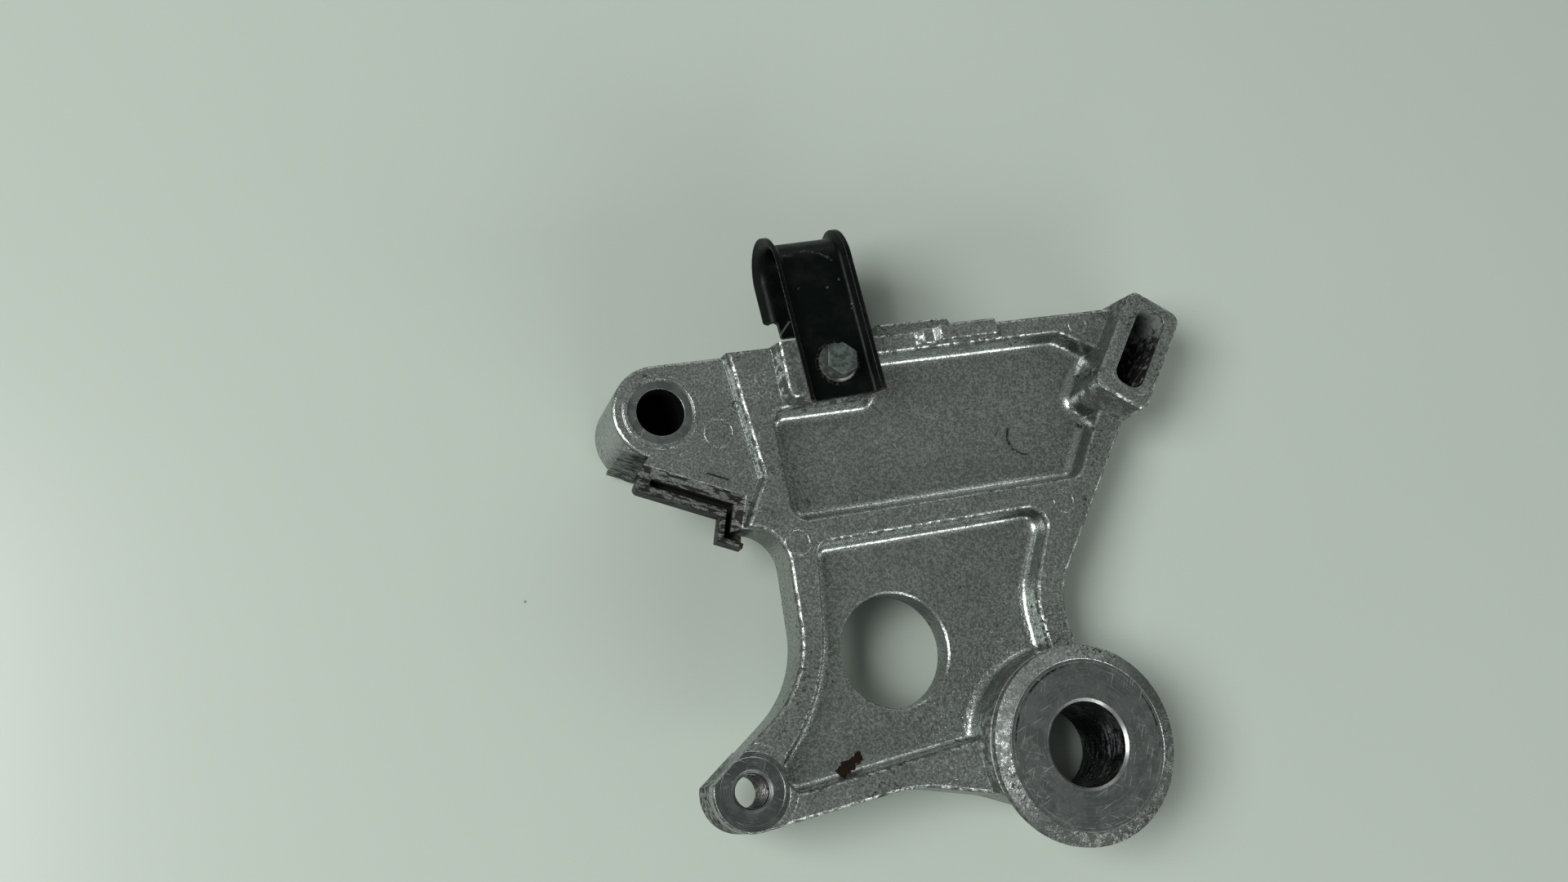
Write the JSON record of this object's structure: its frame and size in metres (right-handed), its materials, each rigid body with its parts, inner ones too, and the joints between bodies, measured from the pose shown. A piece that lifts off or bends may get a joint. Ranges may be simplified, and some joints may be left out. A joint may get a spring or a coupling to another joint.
{
  "type": "brake caliper bracket",
  "caption": "Cast plate bracket with a thick bored axle boss, slide pin bore, threaded ear, slotted stop boss, webbed pockets and a bolted hose clamp.",
  "frame": {"origin": "centre of the axle bore at the back face of the axle boss", "axes": "+Z along the axle bore, from the back towards the ribbed front face; +Y towards the top rim that carries the hose clamp, square to it; +X towards the stop boss"},
  "size_m": [0.1675, 0.1779, 0.0414],
  "materials": {
    "silver_casting": "silver paint over grainy cast aluminium, machined faces bare, grime in the corners",
    "black_strip": "black paint, scuffed, with worn edges and small spots of rust",
    "plated_bolt": "dull grey zinc plating, dirty flange"
  },
  "bodies": {
    "root": {"bracket_casting": "silver_casting", "hose_clamp": "black_strip", "clamp_bolt": "plated_bolt"}
  },
  "joints": []
}
